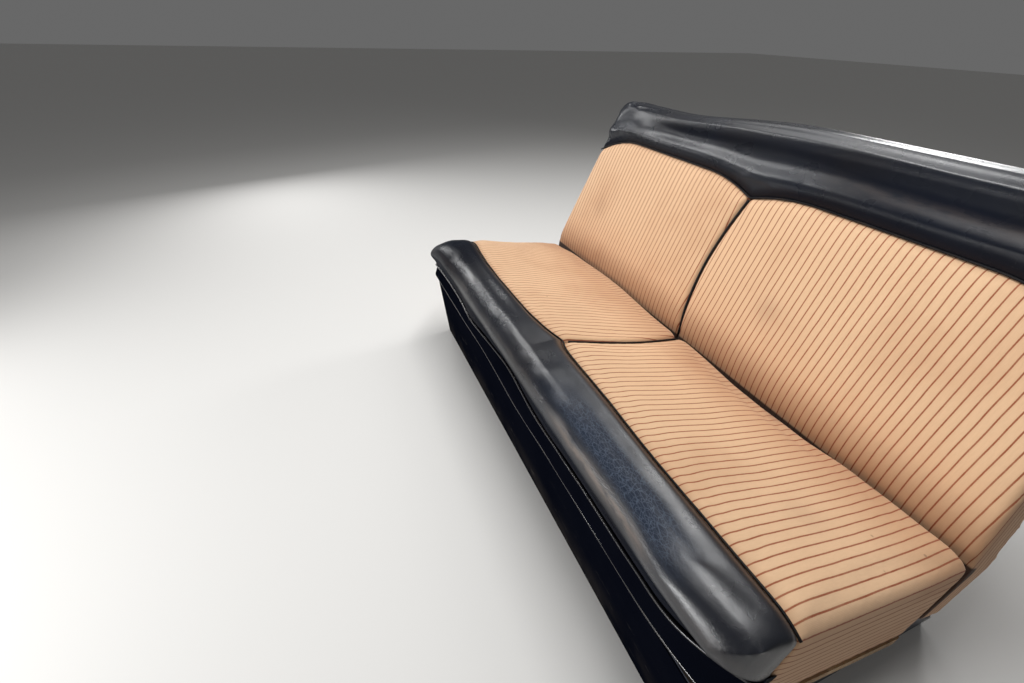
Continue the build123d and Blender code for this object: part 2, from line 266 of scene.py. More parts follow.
def deselect():
    if bpy.context.mode != "OBJECT":
        bpy.ops.object.mode_set(mode="OBJECT")
    bpy.ops.object.select_all(action="DESELECT")


def only(piece):
    """Selects one object alone and makes it active."""
    deselect()
    piece.select_set(True)
    bpy.context.view_layer.objects.active = piece


def settle_origin(piece):
    """Puts the object at the origin, unturned and unscaled, with its place in its mesh."""
    only(piece)
    bpy.ops.object.transform_apply(location=True, rotation=True, scale=True)


def points_of(mesh):
    co = np.empty(len(mesh.vertices) * 3)
    mesh.vertices.foreach_get("co", co)
    return co.reshape(-1, 3)


def place_points(mesh, co):
    mesh.vertices.foreach_set("co", co.ravel())
    mesh.update()


def apply_modifiers(piece):
    only(piece)
    for modifier in list(piece.modifiers):
        bpy.ops.object.modifier_apply(modifier=modifier.name)


def tangle(points, scale, seed):
    """Smooth noise between -1 and 1 at each point."""
    shift = Vector((seed * 7.3, seed * 3.1, seed * 5.7))
    return np.array([noise.noise(Vector(p) * scale + shift) for p in points])


def store(piece, name, values):
    """Keeps one number for each point, for the finishes to read."""
    layer = piece.data.attributes.get(name) or piece.data.attributes.new(name, "FLOAT", "POINT")
    layer.data.foreach_set("value", values.astype(np.float32))


def finish_piece(piece, body, slot, material, *nodes):
    """Gives a piece its material and body, and hides the solids that it stands for; the slot is not used."""
    piece.data.materials.clear()
    piece.data.materials.append(material)
    only(piece)
    bpy.ops.object.shade_smooth()
    if nodes:
        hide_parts(*nodes)
    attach(piece, body)
    return piece


WELD = 0.00002


def copied_solid(node, name, voxel):
    """A watertight, evenly meshed copy of a CAD solid."""
    piece = bpy.data.objects.new(name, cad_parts[node].data.copy())
    bpy.context.collection.objects.link(piece)
    only(piece)
    bpy.ops.object.mode_set(mode="EDIT")
    bpy.ops.mesh.select_all(action="SELECT")
    bpy.ops.mesh.remove_doubles(threshold=WELD)
    bpy.ops.object.mode_set(mode="OBJECT")
    remesh = piece.modifiers.new("Even mesh", "REMESH")
    remesh.mode = "VOXEL"
    remesh.voxel_size = voxel
    remesh.use_smooth_shade = True
    apply_modifiers(piece)
    return piece


SIMULATED_FRAMES = 20
DRAWN_IN_SHARE = 0.9


def swell(piece, allowed, pressure=4.0):
    """Draws the skin in by its allowed move, then lets a cloth simulation under pressure fill it again."""
    outward = np.empty(len(piece.data.vertices) * 3)
    piece.data.vertex_normals.foreach_get("vector", outward)
    rest = points_of(piece.data) - outward.reshape(-1, 3) * allowed[:, None] * DRAWN_IN_SHARE
    place_points(piece.data, rest)
    only(piece)
    cloth = piece.modifiers.new("Stuffing", "CLOTH")
    settings = cloth.settings
    settings.quality = 3
    settings.use_pressure = True
    settings.uniform_pressure_force = pressure
    settings.effector_weights.gravity = 0
    settings.tension_stiffness = 12
    settings.compression_stiffness = 12
    settings.shear_stiffness = 6
    settings.bending_stiffness = 0.4
    cloth.collision_settings.use_collision = False
    scene = bpy.context.scene
    for step in range(1, SIMULATED_FRAMES + 1):
        scene.frame_set(step)
    solved = piece.evaluated_get(bpy.context.evaluated_depsgraph_get())
    co = points_of(solved.data).copy()
    piece.modifiers.remove(cloth)
    scene.frame_set(1)
    move = co - rest
    size = np.linalg.norm(move, axis=1)
    share = np.minimum(1.0, allowed / np.maximum(size, 1e-9))
    place_points(piece.data, rest + move * share[:, None])


def subdivide_once(piece):
    only(piece)
    rounding = piece.modifiers.new("Smooth", "SUBSURF")
    rounding.levels = 1
    rounding.render_levels = 1
    apply_modifiers(piece)


# Node materials

class Wave:
    """A shader value that takes part in Python expressions."""

    def __init__(self, paint, socket):
        self.paint = paint
        self.socket = socket

    def _math(self, operation, *values):
        return Wave(self.paint, self.paint.node("ShaderNodeMath", {"operation": operation},
                                                dict(enumerate(values))).outputs[0])

    def __add__(self, other):
        return self._math("ADD", self, other)

    def __sub__(self, other):
        return self._math("SUBTRACT", self, other)

    def __mul__(self, other):
        return self._math("MULTIPLY", self, other)

    def __truediv__(self, other):
        return self._math("DIVIDE", self, other)

    def __abs__(self):
        return self._math("ABSOLUTE", self)

    def sin(self):
        return self._math("SINE", self)

    def part(self):
        return self._math("FRACT", self)

    def smallest(self, other):
        return self._math("MINIMUM", self, other)

    def between(self, low, high):
        """0 below low, 1 above high, eased between; low may be the larger."""
        node = self.paint.node("ShaderNodeMapRange", {"interpolation_type": "SMOOTHSTEP"},
                               {"Value": self, "From Min": low, "From Max": high})
        return Wave(self.paint, node.outputs["Result"])


class Finish:
    """One procedural material and its node tree."""

    def __init__(self, name):
        self.material = bpy.data.materials.new(name)
        self.material.use_nodes = True
        self.tree = self.material.node_tree
        self.tree.nodes.clear()
        self.output = self.node("ShaderNodeOutputMaterial")
        self.shader = self.node("ShaderNodeBsdfPrincipled")
        self.tree.links.new(self.shader.outputs[0], self.output.inputs["Surface"])
        self.place = self.node("ShaderNodeTexCoord").outputs["Object"]

    def node(self, kind, settings=None, inputs=None):
        made = self.tree.nodes.new(kind)
        for key, value in (settings or {}).items():
            setattr(made, key, value)
        for key, value in (inputs or {}).items():
            self.plug(made.inputs[key], value)
        return made

    def plug(self, socket, value):
        if isinstance(value, Wave):
            self.tree.links.new(value.socket, socket)
        elif isinstance(value, bpy.types.NodeSocket):
            self.tree.links.new(value, socket)
        elif isinstance(value, (tuple, list)) and len(value) == 3 and socket.type == "RGBA":
            socket.default_value = (*value, 1)
        else:
            socket.default_value = value

    def axes(self):
        split = self.node("ShaderNodeSeparateXYZ", None, {"Vector": self.place})
        return [Wave(self, out) for out in split.outputs]

    def attribute(self, name):
        return Wave(self, self.node("ShaderNodeAttribute", {"attribute_name": name}).outputs["Fac"])

    def stretched(self, scale, turn=(0.0, 0.0, 0.0)):
        return self.node("ShaderNodeMapping", None,
                         {"Vector": self.place, "Rotation": turn, "Scale": scale}).outputs[0]

    def noise(self, scale, detail=2.0, rough=0.5, vector=None, distortion=0.0):
        made = self.node("ShaderNodeTexNoise", None,
                         {"Vector": vector or self.place, "Scale": scale, "Detail": detail,
                          "Roughness": rough, "Distortion": distortion})
        return Wave(self, made.outputs["Fac"])

    def cells(self, scale, feature, vector=None):
        made = self.node("ShaderNodeTexVoronoi", {"feature": feature},
                         {"Vector": vector or self.place, "Scale": scale})
        return Wave(self, made.outputs["Distance"])

    def mix(self, share, first, second):
        made = self.node("ShaderNodeMix", {"data_type": "RGBA", "clamp_factor": True})
        self.plug(made.inputs[0], share)
        self.plug(made.inputs[6], first)
        self.plug(made.inputs[7], second)
        return made.outputs[2]

    def bump(self, height, strength, distance):
        made = self.node("ShaderNodeBump", None,
                         {"Height": height, "Strength": strength, "Distance": distance})
        self.plug(self.shader.inputs["Normal"], made.outputs[0])

    def set(self, **values):
        for key, value in values.items():
            self.plug(self.shader.inputs[key.replace("_", " ")], value)


# Linear colours that the finishes blend towards, and the pitches of the cloth's weave
CLOTH_SHADE = (0.42, 0.24, 0.13)
CLOTH_SPOT = (0.20, 0.11, 0.06)
CLOTH_STAIN = (0.26, 0.14, 0.09)
# Painted shade deep in the crease between the cushion and the squab
CREASE_SHADE = (0.030, 0.012, 0.008)
RIB_PITCH = 0.00117
PICK_PITCH = 0.0013


def cloth_finish(name, offset):
    """Ribbed wool cloth with thin rust stripes that run fore and aft, soiled in patches, with painted shade
    along its seams and towards the crease.
    """
    s, c = sizes(), colours()
    f = Finish(name)
    _, y, z = f.axes()
    x = f.attribute("across")
    waver = (f.noise(24, 1.0) - 0.5) * 0.0012
    fray = (f.noise(900, 2.0) - 0.5) * 0.0007
    phase = ((x + waver + offset) / s.stripe_pitch).part()
    off_line = abs(phase - 0.5) * s.stripe_pitch + fray
    stripe = off_line.between(s.stripe_width * 0.5 + 0.0005, s.stripe_width * 0.5 - 0.0004)
    halo = off_line.between(0.0042, 0.0008)
    rib = (x * (2 * math.pi / RIB_PITCH)).sin() * 0.5 + 0.5
    pick = ((y + z) * (2 * math.pi / PICK_PITCH)).sin() * 0.5 + 0.5
    weave = rib * 0.6 + pick * 0.4
    slub = f.noise(420, 3.0, 0.6, f.stretched((1.0, 0.22, 0.22)))
    cloud = f.noise(4.5, 3.0, 0.55)
    seam = f.attribute("near_seam")
    crease = f.attribute("crease_shade")
    stain = f.attribute("stain")
    # soil in random patches, plus painted shade along the seams and towards the crease
    soil_and_shade = (cloud.between(0.42, 0.76) * 0.6 + seam * 0.55 + crease.between(0.0, 0.42) * 0.75).smallest(1.0)
    ground = f.mix(soil_and_shade, tuple(c.ground), tuple(c.ground_deep))
    ground = f.mix(slub.between(0.25, 0.75) * 0.10 + weave * 0.09 + halo * 0.06, ground, CLOTH_SHADE)
    fade = f.noise(60, 2.0).between(0.2, 0.75) * 0.16 + 0.80
    colour = f.mix(stripe * fade, ground, tuple(c.stripe))
    spots = f.cells(19, "F1").between(0.06, 0.02) * f.noise(11, 1.0).between(0.56, 0.66)
    colour = f.mix(spots * 0.55, colour, CLOTH_SPOT)
    colour = f.mix(stain, colour, CLOTH_STAIN)
    # painted shade: the cloth darkened deep in the crease
    colour = f.mix(crease.between(0.5, 0.85) * 0.94, colour, CREASE_SHADE)
    f.set(Base_Color=colour, Roughness=0.92)
    f.shader.inputs["Sheen Weight"].default_value = 0.12
    f.shader.inputs["Sheen Roughness"].default_value = 0.5
    f.shader.inputs["Specular IOR Level"].default_value = 0.25
    f.bump(weave * 0.5 + slub * 0.7 - stripe * 0.25, 0.35, 0.0006)
    return f.material


NAVY_FADED = (0.009, 0.008, 0.009)
CRACKED_GROUND = (0.008, 0.014, 0.030)
LEATHER_DUST = (0.16, 0.15, 0.14)
# Turn and scale of each layer of cracks
CRACK_LAYERS = ((0.75, 150), (-0.6, 170), (0.1, 210))


def leather_finish(name, crackle, wear, polish):
    """Navy hide with a fine grain, cracks in its finish and dye worn brown on its edges."""
    c = colours()
    f = Finish(name)
    grain = f.cells(820, "DISTANCE_TO_EDGE")
    cloud = f.noise(14, 3.0, 0.6)
    broad = f.noise(4.5, 2.0)
    veins = 0
    for turn, size in CRACK_LAYERS:
        slant = f.stretched((0.42, 1.0, 1.0), (0.0, 0.0, turn))
        line = f.cells(size, "DISTANCE_TO_EDGE", slant).between(0.055, 0.010)
        strength = f.noise(70, 2.0).between(0.30, 0.62) if turn < 0 else 0.8
        veins = line * strength + veins
    where = f.attribute("cracked") * crackle
    cracks = veins.smallest(1.0) * where
    seam = f.attribute("near_seam")
    ridge = f.attribute("worn")
    streak = f.noise(90, 4.0, 0.65, f.stretched((0.22, 1.0, 1.0)))
    rub = (seam * 0.40 + ridge * streak.between(0.30, 0.62)).smallest(1.0) * wear
    colour = f.mix(broad.between(0.35, 0.7) * 0.5, tuple(c.navy), NAVY_FADED)
    colour = f.mix(rub, colour, tuple(c.worn))
    colour = f.mix(where * 0.8, colour, CRACKED_GROUND)
    colour = f.mix(cracks * 0.65, colour, tuple(c.crack))
    dust = f.noise(260, 2.0).between(0.62, 0.8) * cloud.between(0.45, 0.7) * 0.10
    colour = f.mix(dust, colour, LEATHER_DUST)
    rough = cloud * 0.10 + 0.23 + rub * 0.12 - dust * 0.2 + where * 0.15
    f.set(Base_Color=colour, Roughness=rough)
    f.shader.inputs["Specular IOR Level"].default_value = polish
    crease = f.noise(38, 3.0, 0.55, f.stretched((1.0, 0.45, 0.45)))
    pebble = f.noise(560, 3.0, 0.55)
    f.bump(grain.between(0.0, 0.22) * 0.12 + pebble * 0.40 - cracks * 0.5 + crease * 0.7, 0.5, 0.0006)
    dull = f.node("ShaderNodeBsdfPrincipled", None,
                  {"Base Color": colour, "Roughness": 0.7, "Specular IOR Level": 0.0})
    both = f.node("ShaderNodeMixShader", None,
                  {0: f.attribute("tucked"), 1: f.shader.outputs[0], 2: dull.outputs[0]})
    f.tree.links.new(both.outputs[0], f.output.inputs["Surface"])
    return f.material


LEATHERCLOTH_NAVY = ((0.0024, 0.0030, 0.0060), (0.0040, 0.0046, 0.0080))
SCUFF = (0.09, 0.085, 0.08)
FLOOR_DUST = (0.10, 0.085, 0.07)


def leathercloth_finish(name):
    """Coated cloth with a fine pebble, scuffed low down."""
    f = Finish(name)
    z = f.axes()[2]
    pebble = f.cells(640, "F1")
    cloud = f.noise(9, 3.0)
    scuff = f.noise(70, 4.0, 0.65, f.stretched((0.25, 1.0, 1.0))).between(0.58, 0.74) * z.between(0.16, 0.02)
    dust = z.between(0.09, 0.0) * cloud.between(0.3, 0.7)
    colour = f.mix(cloud.between(0.3, 0.7) * 0.5, *LEATHERCLOTH_NAVY)
    colour = f.mix(scuff * 0.35, colour, SCUFF)
    colour = f.mix(dust * 0.16, colour, FLOOR_DUST)
    f.set(Base_Color=colour, Roughness=cloud * 0.12 + 0.62 + dust * 0.2)
    f.shader.inputs["Specular IOR Level"].default_value = 0.0
    f.bump(pebble * 0.6 + f.noise(30, 2.0) * 0.6, 0.4, 0.0008)
    return f.material


PIPING_RUBBED = (0.035, 0.026, 0.020)


def piping_finish(name, gloss):
    """Thin leather over cord, with faint creases across it; more polished where legs rub it."""
    c = colours()
    f = Finish(name)
    cloud = f.noise(40, 3.0)
    crease = f.noise(500, 2.0)
    colour = f.mix(cloud.between(0.45, 0.75) * 0.6, tuple(c.piping), PIPING_RUBBED)
    f.set(Base_Color=colour, Roughness=cloud * 0.2 + 0.36 - gloss * 0.2)
    f.shader.inputs["Specular IOR Level"].default_value = 0.15 + gloss * 0.4
    f.bump(crease, 0.10, 0.0004)
    return f.material


# Pale and dark of each board
PLYWOOD = ((0.52, 0.36, 0.20), (0.30, 0.17, 0.08))
HARDBOARD = ((0.23, 0.13, 0.07), (0.12, 0.06, 0.03))


def timber_finish(name, shades, grain_scale, fibre):
    """Raw board with long grain, or fine fibre speckle for hardboard."""
    f = Finish(name)
    pale, dark = shades
    long = f.noise(grain_scale, 4.0, 0.6, f.stretched((0.12, 1.0, 1.0)), 1.4)
    speck = f.noise(900 if fibre else 300, 3.0, 0.7)
    stain = f.noise(5, 3.0)
    colour = f.mix(long.between(0.3, 0.7) * (0.35 if fibre else 0.85), pale, dark)
    colour = f.mix(speck.between(0.45, 0.75) * 0.4, colour, dark)
    colour = f.mix(stain.between(0.5, 0.75) * 0.45, colour, tuple(v * 0.45 for v in dark))
    f.set(Base_Color=colour, Roughness=speck * 0.15 + 0.68)
    f.bump(long * 0.6 + speck * 0.5, 0.35, 0.0006)
    return f.material


BODY_PAINT = ((0.020, 0.025, 0.040), (0.030, 0.034, 0.046))
PRIMER = (0.16, 0.15, 0.14)
RUST = (0.13, 0.05, 0.02)
STEEL_DUST = (0.20, 0.175, 0.15)
ZINC = ((0.46, 0.45, 0.43), (0.26, 0.25, 0.23))
TARNISH = (0.17, 0.08, 0.04)


def painted_steel_finish(name):
    """Satin body paint with dust on its upper faces, chips and small rust spots."""
    f = Finish(name)
    cloud = f.noise(12, 4.0)
    peel = f.noise(420, 1.0)
    chips = f.noise(130, 5.0, 0.7).between(0.66, 0.69)
    rust = f.noise(34, 5.0, 0.7).between(0.66, 0.74)
    up = Wave(f, f.node("ShaderNodeSeparateXYZ", None,
                        {"Vector": f.node("ShaderNodeNewGeometry").outputs["Normal"]}).outputs[2])
    dust = up.between(0.3, 1.0) * cloud.between(0.25, 0.7)
    colour = f.mix(cloud.between(0.3, 0.7) * 0.5, *BODY_PAINT)
    colour = f.mix(chips * 0.7, colour, PRIMER)
    colour = f.mix(rust, colour, RUST)
    colour = f.mix(dust * 0.45, colour, STEEL_DUST)
    f.set(Base_Color=colour, Roughness=(rust * 0.35 + dust * 0.25 + 0.40).smallest(0.95))
    f.bump(peel * 0.25 - chips * 0.6 + rust * 0.5, 0.3, 0.0005)
    return f.material


def bare_steel_finish(name):
    """Dulled zinc plate with handling marks and tarnish."""
    f = Finish(name)
    cloud = f.noise(35, 4.0)
    line = f.noise(260, 3.0, 0.6, f.stretched((1.0, 0.08, 0.08)))
    rust = f.noise(90, 5.0, 0.7).between(0.64, 0.74)
    colour = f.mix(cloud.between(0.3, 0.75), *ZINC)
    colour = f.mix(rust * 0.8, colour, TARNISH)
    f.set(Base_Color=colour, Roughness=cloud * 0.25 + 0.34 + rust * 0.3, Metallic=rust * -0.9 + 0.92)
    f.bump(line * 0.5 + rust * 0.8, 0.25, 0.0004)
    return f.material


# What makes each finish, and what it is made with
RECIPES = {
    "cushion_cloth": (cloth_finish, 0.0),
    "squab_cloth": (cloth_finish, 0.004),
    "bolster_leather": (leather_finish, 1.0, 1.0, 0.68),
    "roll_leather": (leather_finish, 0.0, 0.22, 0.52),
    "leathercloth": (leathercloth_finish,),
    "piping": (piping_finish, 0.0),
    "rubbed_piping": (piping_finish, 1.0),
    "plywood": (timber_finish, PLYWOOD, 26, False),
    "hardboard": (timber_finish, HARDBOARD, 18, True),
    "painted_steel": (painted_steel_finish,),
    "bare_steel": (bare_steel_finish,),
}
FINISHES = {}


def finish(name):
    """The named finish, made once."""
    if name not in FINISHES:
        make, *settings = RECIPES[name]
        FINISHES[name] = make(name, *settings)
    return FINISHES[name]


# Upholstery

# Place along the bench, distance from the crease, radius and strength of each soiled patch
CUSHION_STAINS = ((0.51, 0.20, 0.030, 0.16), (0.305, 0.012, 0.018, 0.55), (-0.12, 0.24, 0.05, 0.08))
SQUAB_STAINS = ((0.184, 0.167, 0.026, 0.22), (-0.476, 0.171, 0.030, 0.16), (0.125, 0.02, 0.04, 0.12),
                (0.21, 0.03, 0.03, 0.14))

# Levels between which a piece turns from its side into its face
FACE = (-0.015, 0.008)
SWOLLEN_FACE = (-0.02, 0.008)
SEAM_LIP = (-0.006, 0.004)

# How far the stuffing may move the skin at a seam, and how much more away from it
CUSHION_ROOM = (0.0008, 0.006)
BOLSTER_ROOM = (0.0008, 0.005)
SQUAB_ROOM = (0.0006, 0.009)
ROLL_ROOM = (0.0008, 0.005)


def room(limits, share):
    """Room for the skin to move, from its least at a seam to its most."""
    least, more = limits
    return least + more * share


def flatten_rear(local):
    """Cushion points with the rear top edge drawn up close to the squab."""
    s = sizes()
    x, u, v = np.abs(local[:, 0]), -local[:, 1], local[:, 2]
    inner = ease(0.004, 0.03, np.minimum(x, s.half_width - x))
    rear = ease(0.045, 0.020, u) * inner
    depth = 0.014 - v
    drawn = np.where(depth < 0.018, depth * 0.4, depth - 0.0108 * np.exp(-(depth - 0.018) / 0.03))
    local[:, 2] = v + (depth - drawn) * rear
    return local


def round_toe(local):
    """Squab points with the foot of the face rounded back to the crease."""
    w, n = local[:, 1], local[:, 2]
    limit = 0.016 - 0.0155 * np.clip((0.10 - w) / 0.09, 0, 1.3) ** 2
    blend = 0.004
    local[:, 2] = limit - blend * np.logaddexp(0, (limit - n) / blend)
    return local


def drawn_in(gap):
    """How far an edge is drawn towards its seam, by its distance from it."""
    return 0.0026 * ease(0.014, 0.003, gap)


def stains(x, run, spots):
    """Soft soiled patches, each given by its place, radius and strength."""
    depth = np.zeros(len(x))
    for place, height, radius, strength in spots:
        away = np.hypot(x - place, run - height) / radius
        depth = np.maximum(depth, strength * np.exp(-away ** 2))
    return depth


def across(x, edge, level):
    """Place across the stripes, carried on down the ends as the cloth wraps over them."""
    over = ease(edge - 0.014, edge - 0.002, np.abs(x)) * np.clip(0.004 - level, 0, 1)
    return x + np.sign(x) * over


def crease_shade(run):
    """Strength of the painted shade near the crease: 1 in the crease, falling away over the first hand's
    breadth of the cloth.
    """
    return 0.4 * ease(0.22, 0.0, run) + 0.6 * ease(0.018, 0.007, run)


class BENCH_OT_cushion_pads(bpy.types.Operator):
    """Cloth cushion pads, one each side of the centre piping"""
    bl_idname = "bench.cushion_pads"
    bl_label = "Cushion Pads"

    def execute(self, context):
        s = sizes()
        for side, seed in (("left", 1), ("right", 2)):
            node = f"cushion_pad_{side}"
            piece = copied_solid(node, f"cushion_{side}", s.pad_voxel)
            local = to_trim(points_of(piece.data), "cushion")
            x, u, v = np.abs(local[:, 0]), -local[:, 1], local[:, 2]
            inset = np.minimum(np.minimum(x, s.half_width - x), np.minimum(u - 0.005, s.cushion_seam - u))
            swell(piece, room(CUSHION_ROOM, ease(0.0, 0.06, inset) * ease(*SWOLLEN_FACE, v)))
            subdivide_once(piece)
            local = to_trim(points_of(piece.data), "cushion")
            x, u, v = local[:, 0], -local[:, 1], local[:, 2]
            inset = np.minimum(np.minimum(np.abs(x), s.half_width - np.abs(x)), s.cushion_seam - u)
            top = ease(*FACE, v)

            # broad sway, a sat-in dish, fine puckers along the seams, and the seams drawn in
            sway = tangle(local, 5.0, seed) * 0.0032 + tangle(local, 16.0, seed + 4) * 0.0012
            dish = -0.005 * np.exp(-(((np.abs(x) - 0.33) / 0.17) ** 2 + ((u - 0.17) / 0.12) ** 2))
            pucker = tangle(local * (1.0, 0.3, 0.3), 46.0, seed + 9) * 0.0011 * ease(0.05, 0.0, inset)
            local[:, 1] -= drawn_in(s.cushion_seam - u) * ease(*SEAM_LIP, v)
            local = flatten_rear(local)
            local[:, 2] += (sway * ease(0.0, 0.05, inset) + dish + pucker) * top
            seam = ease(0.018, 0.001, np.minimum(inset, u + 0.004))
            local = settle_cushion(local)
            place_points(piece.data, from_trim(local, "cushion"))
            store(piece, "across", across(local[:, 0], s.half_width, v))
            # on the cloth, near_seam sets painted shade along the seams
            store(piece, "near_seam", seam)
            # painted shade: darkens the cushion cloth towards the crease
            store(piece, "crease_shade", crease_shade(u + 0.006) * ease(-0.035, -0.015, v))
            store(piece, "stain", stains(x, u, CUSHION_STAINS))
            finish_piece(piece, "cushion", "cloth", finish("cushion_cloth"), node)
        return {"FINISHED"}


class BENCH_OT_cushion_bolster(bpy.types.Operator):
    """Leather bolster over the cushion's front edge"""
    bl_idname = "bench.cushion_bolster"
    bl_label = "Cushion Bolster"

    def execute(self, context):
        s = sizes()
        piece = copied_solid("cushion_bolster", "bolster", s.front_voxel)
        local = to_trim(points_of(piece.data), "cushion")
        u, v = -local[:, 1], local[:, 2]
        swell(piece, room(BOLSTER_ROOM, ease(0.375, 0.41, u) * ease(-0.105, -0.07, v)))
        subdivide_once(piece)
        local = to_trim(points_of(piece.data), "cushion")
        x, u, v = local[:, 0], -local[:, 1], local[:, 2]
        out = ease(0.37, 0.41, u)

        # the skin sways between its seams
        sway = tangle(local * (1.0, 0.4, 0.4), 6.0, 21) * 0.0035 + tangle(local, 19.0, 22) * 0.0014
        local[:, 2] += sway * out * ease(-0.1, -0.02, v)
        local[:, 1] -= sway * out * 0.7
        local[:, 1] += drawn_in(u - s.cushion_seam) * ease(*SEAM_LIP, v)

        # worn along the nose, and cracked over the stretch that knees rub
        ridge = hump(v, -0.037, 0.008) * ease(0.41, 0.43, u)
        worn = ridge * (0.15 + 0.85 * ease(0.16, 0.28, x) * ease(0.52, 0.44, x))
        cracked = ease(0.392, 0.412, u) * ease(0.444, 0.434, u) * ease(-0.035, -0.022, v)
        cracked *= ease(0.08, 0.30, x) * ease(0.56, 0.46, x)
        seam = ease(s.cushion_seam + 0.022, s.cushion_seam + 0.001, u) * ease(-0.03, 0.0, v)
        place_points(piece.data, from_trim(settle_cushion(local), "cushion"))
        store(piece, "near_seam", seam)
        store(piece, "worn", worn)
        store(piece, "cracked", cracked)
        quiet = np.maximum(0.70 * ease(-0.26, -0.42, x), 0.7 * cracked)
        store(piece, "tucked", np.maximum(0.9 * ease(-0.044, -0.062, v), quiet))
        finish_piece(piece, "cushion", "leather", finish("bolster_leather"), "cushion_bolster")
        return {"FINISHED"}


class BENCH_OT_cushion_border(bpy.types.Operator):
    """Covered border band between the two lower pipings"""
    bl_idname = "bench.cushion_border"
    bl_label = "Cushion Border"

    def execute(self, context):
        piece = copied_solid("cushion_border", "border", sizes().front_voxel)
        local = to_trim(points_of(piece.data), "cushion")
        local[:, 1] -= tangle(local * (1.0, 0.5, 0.5), 12.0, 61) * 0.0012 * ease(0.38, 0.39, -local[:, 1])
        place_points(piece.data, from_trim(settle_cushion(local), "cushion"))
        finish_piece(piece, "cushion", "leathercloth", finish("leathercloth"), "cushion_border")
        return {"FINISHED"}


class BENCH_OT_squab_pads(bpy.types.Operator):
    """Cloth squab pads, one each side of the centre piping"""
    bl_idname = "bench.squab_pads"
    bl_label = "Squab Pads"

    def execute(self, context):
        s = sizes()
        for side, seed in (("left", 31), ("right", 32)):
            node = f"squab_pad_{side}"
            piece = copied_solid(node, f"squab_{side}", s.pad_voxel)
            local = to_trim(points_of(piece.data), "squab")
            x, w, n = np.abs(local[:, 0]), local[:, 1], local[:, 2]
            edge = squab_edge_at(w)
            inset = np.minimum(np.minimum(x, edge - x), np.minimum(w - 0.03, squab_seam_at(x) - w))
            swell(piece, room(SQUAB_ROOM, ease(0.0, 0.07, inset) * ease(*SWOLLEN_FACE, n)))
            subdivide_once(piece)
            local = to_trim(points_of(piece.data), "squab")
            x, w, n = local[:, 0], local[:, 1], local[:, 2]
            edge = squab_edge_at(w)
            inset = np.minimum(np.minimum(np.abs(x), edge - np.abs(x)), squab_seam_at(x) - w)
            front = ease(*FACE, n)

            # broad sway and fine puckers, with the top edge drawn up to its seam
            sway = tangle(local, 5.0, seed) * 0.003 + tangle(local, 15.0, seed + 4) * 0.0012
            pucker = tangle(local * (1.0, 0.3, 0.3), 46.0, seed + 9) * 0.001 * ease(0.05, 0.0, inset)
            local[:, 2] += (sway * ease(0.0, 0.05, inset) * ease(0.03, 0.07, w) + pucker) * front
            local[:, 1] += drawn_in(squab_seam_at(x) - w) * ease(*SEAM_LIP, n)
            local = settle_squab(round_toe(local))
            seam = ease(0.016, 0.001, inset)
            place_points(piece.data, from_trim(local, "squab"))
            store(piece, "across", across(local[:, 0], edge, n))
            # on the cloth, near_seam sets painted shade along the seams
            store(piece, "near_seam", seam)
            # painted shade: darkens the squab cloth towards the crease
            store(piece, "crease_shade", crease_shade(w + 0.004) * ease(-0.030, -0.014, n))
            store(piece, "stain", stains(x, w, SQUAB_STAINS))
            finish_piece(piece, "bench", "cloth", finish("squab_cloth"), node)
        return {"FINISHED"}


class BENCH_OT_squab_roll(bpy.types.Operator):
    """Leather roll over the squab's top"""
    bl_idname = "bench.squab_roll"
    bl_label = "Squab Top Roll"

    def execute(self, context):
        s = sizes()
        piece = copied_solid("squab_top_roll", "top_roll", s.pad_voxel)
        local = to_trim(points_of(piece.data), "squab")
        x, w, n = np.abs(local[:, 0]), local[:, 1], local[:, 2]
        inset = w - squab_seam_at(x)
        swell(piece, room(ROLL_ROOM, ease(0.0, 0.05, inset) * ease(-0.10, -0.02, n)))
        subdivide_once(piece)
        local = to_trim(points_of(piece.data), "squab")
        x, w, n = local[:, 0], local[:, 1], local[:, 2]
        inset = w - squab_seam_at(x)
        front = ease(-0.03, 0.01, n)

        # a full belly over the seam, a valley and a lesser fold above it, and a dimple near the far end
        crest = 0.394 - 0.008 * hump(x, -0.02, 0.11)
        firm = ease(-0.48, -0.28, x)
        belly = 0.0068 * hump(w, crest, 0.020) - 0.0055 * hump(w, crest + 0.040, 0.022) * firm
        belly += 0.0034 * hump(w, crest + 0.078, 0.020) * firm
        sway = tangle(local * (1.0, 0.5, 0.5), 4.0, 41) * 0.0035 + tangle(local, 14.0, 42) * 0.0008
        dimple = -0.006 * hump(x, -0.50, 0.05) * hump(w, 0.45, 0.03)
        local[:, 2] += (belly + dimple + sway * ease(0.0, 0.05, inset)) * front
        local[:, 1] += sway * 0.4 * ease(0.45, 0.50, w)

        # the ends bulge over the squab's shoulders
        bulge = 0.012 * hump(w, 0.405, 0.04) * ease(0.50, s.corner_x, np.abs(x)) * ease(-0.11, -0.03, n)
        local[:, 0] += bulge * np.sign(x)
        local[:, 1] -= drawn_in(inset) * front
        local = settle_squab(local)
        seam = ease(0.016, 0.001, inset) * front
        place_points(piece.data, from_trim(local, "squab"))
        store(piece, "near_seam", seam)
        store(piece, "worn", hump(w, 0.421, 0.010) * ease(0.05, 0.25, x) * front)
        store(piece, "cracked", np.zeros(len(w)))
        quiet = 0.8 * hump(w, 0.449, 0.015) * firm + 0.8 * ease(0.026, 0.008, inset) * front
        quiet += 0.6 * ease(0.0, 0.35, x) * ease(0.47, 0.45, w)
        store(piece, "tucked", np.minimum(quiet, 0.88))
        finish_piece(piece, "bench", "leather", finish("roll_leather"), "squab_top_roll")
        return {"FINISHED"}


PIPING_POINTS = 81
ROLL_PIPING_POINTS = 44
MIDDLE_PIPING_POINTS = 24


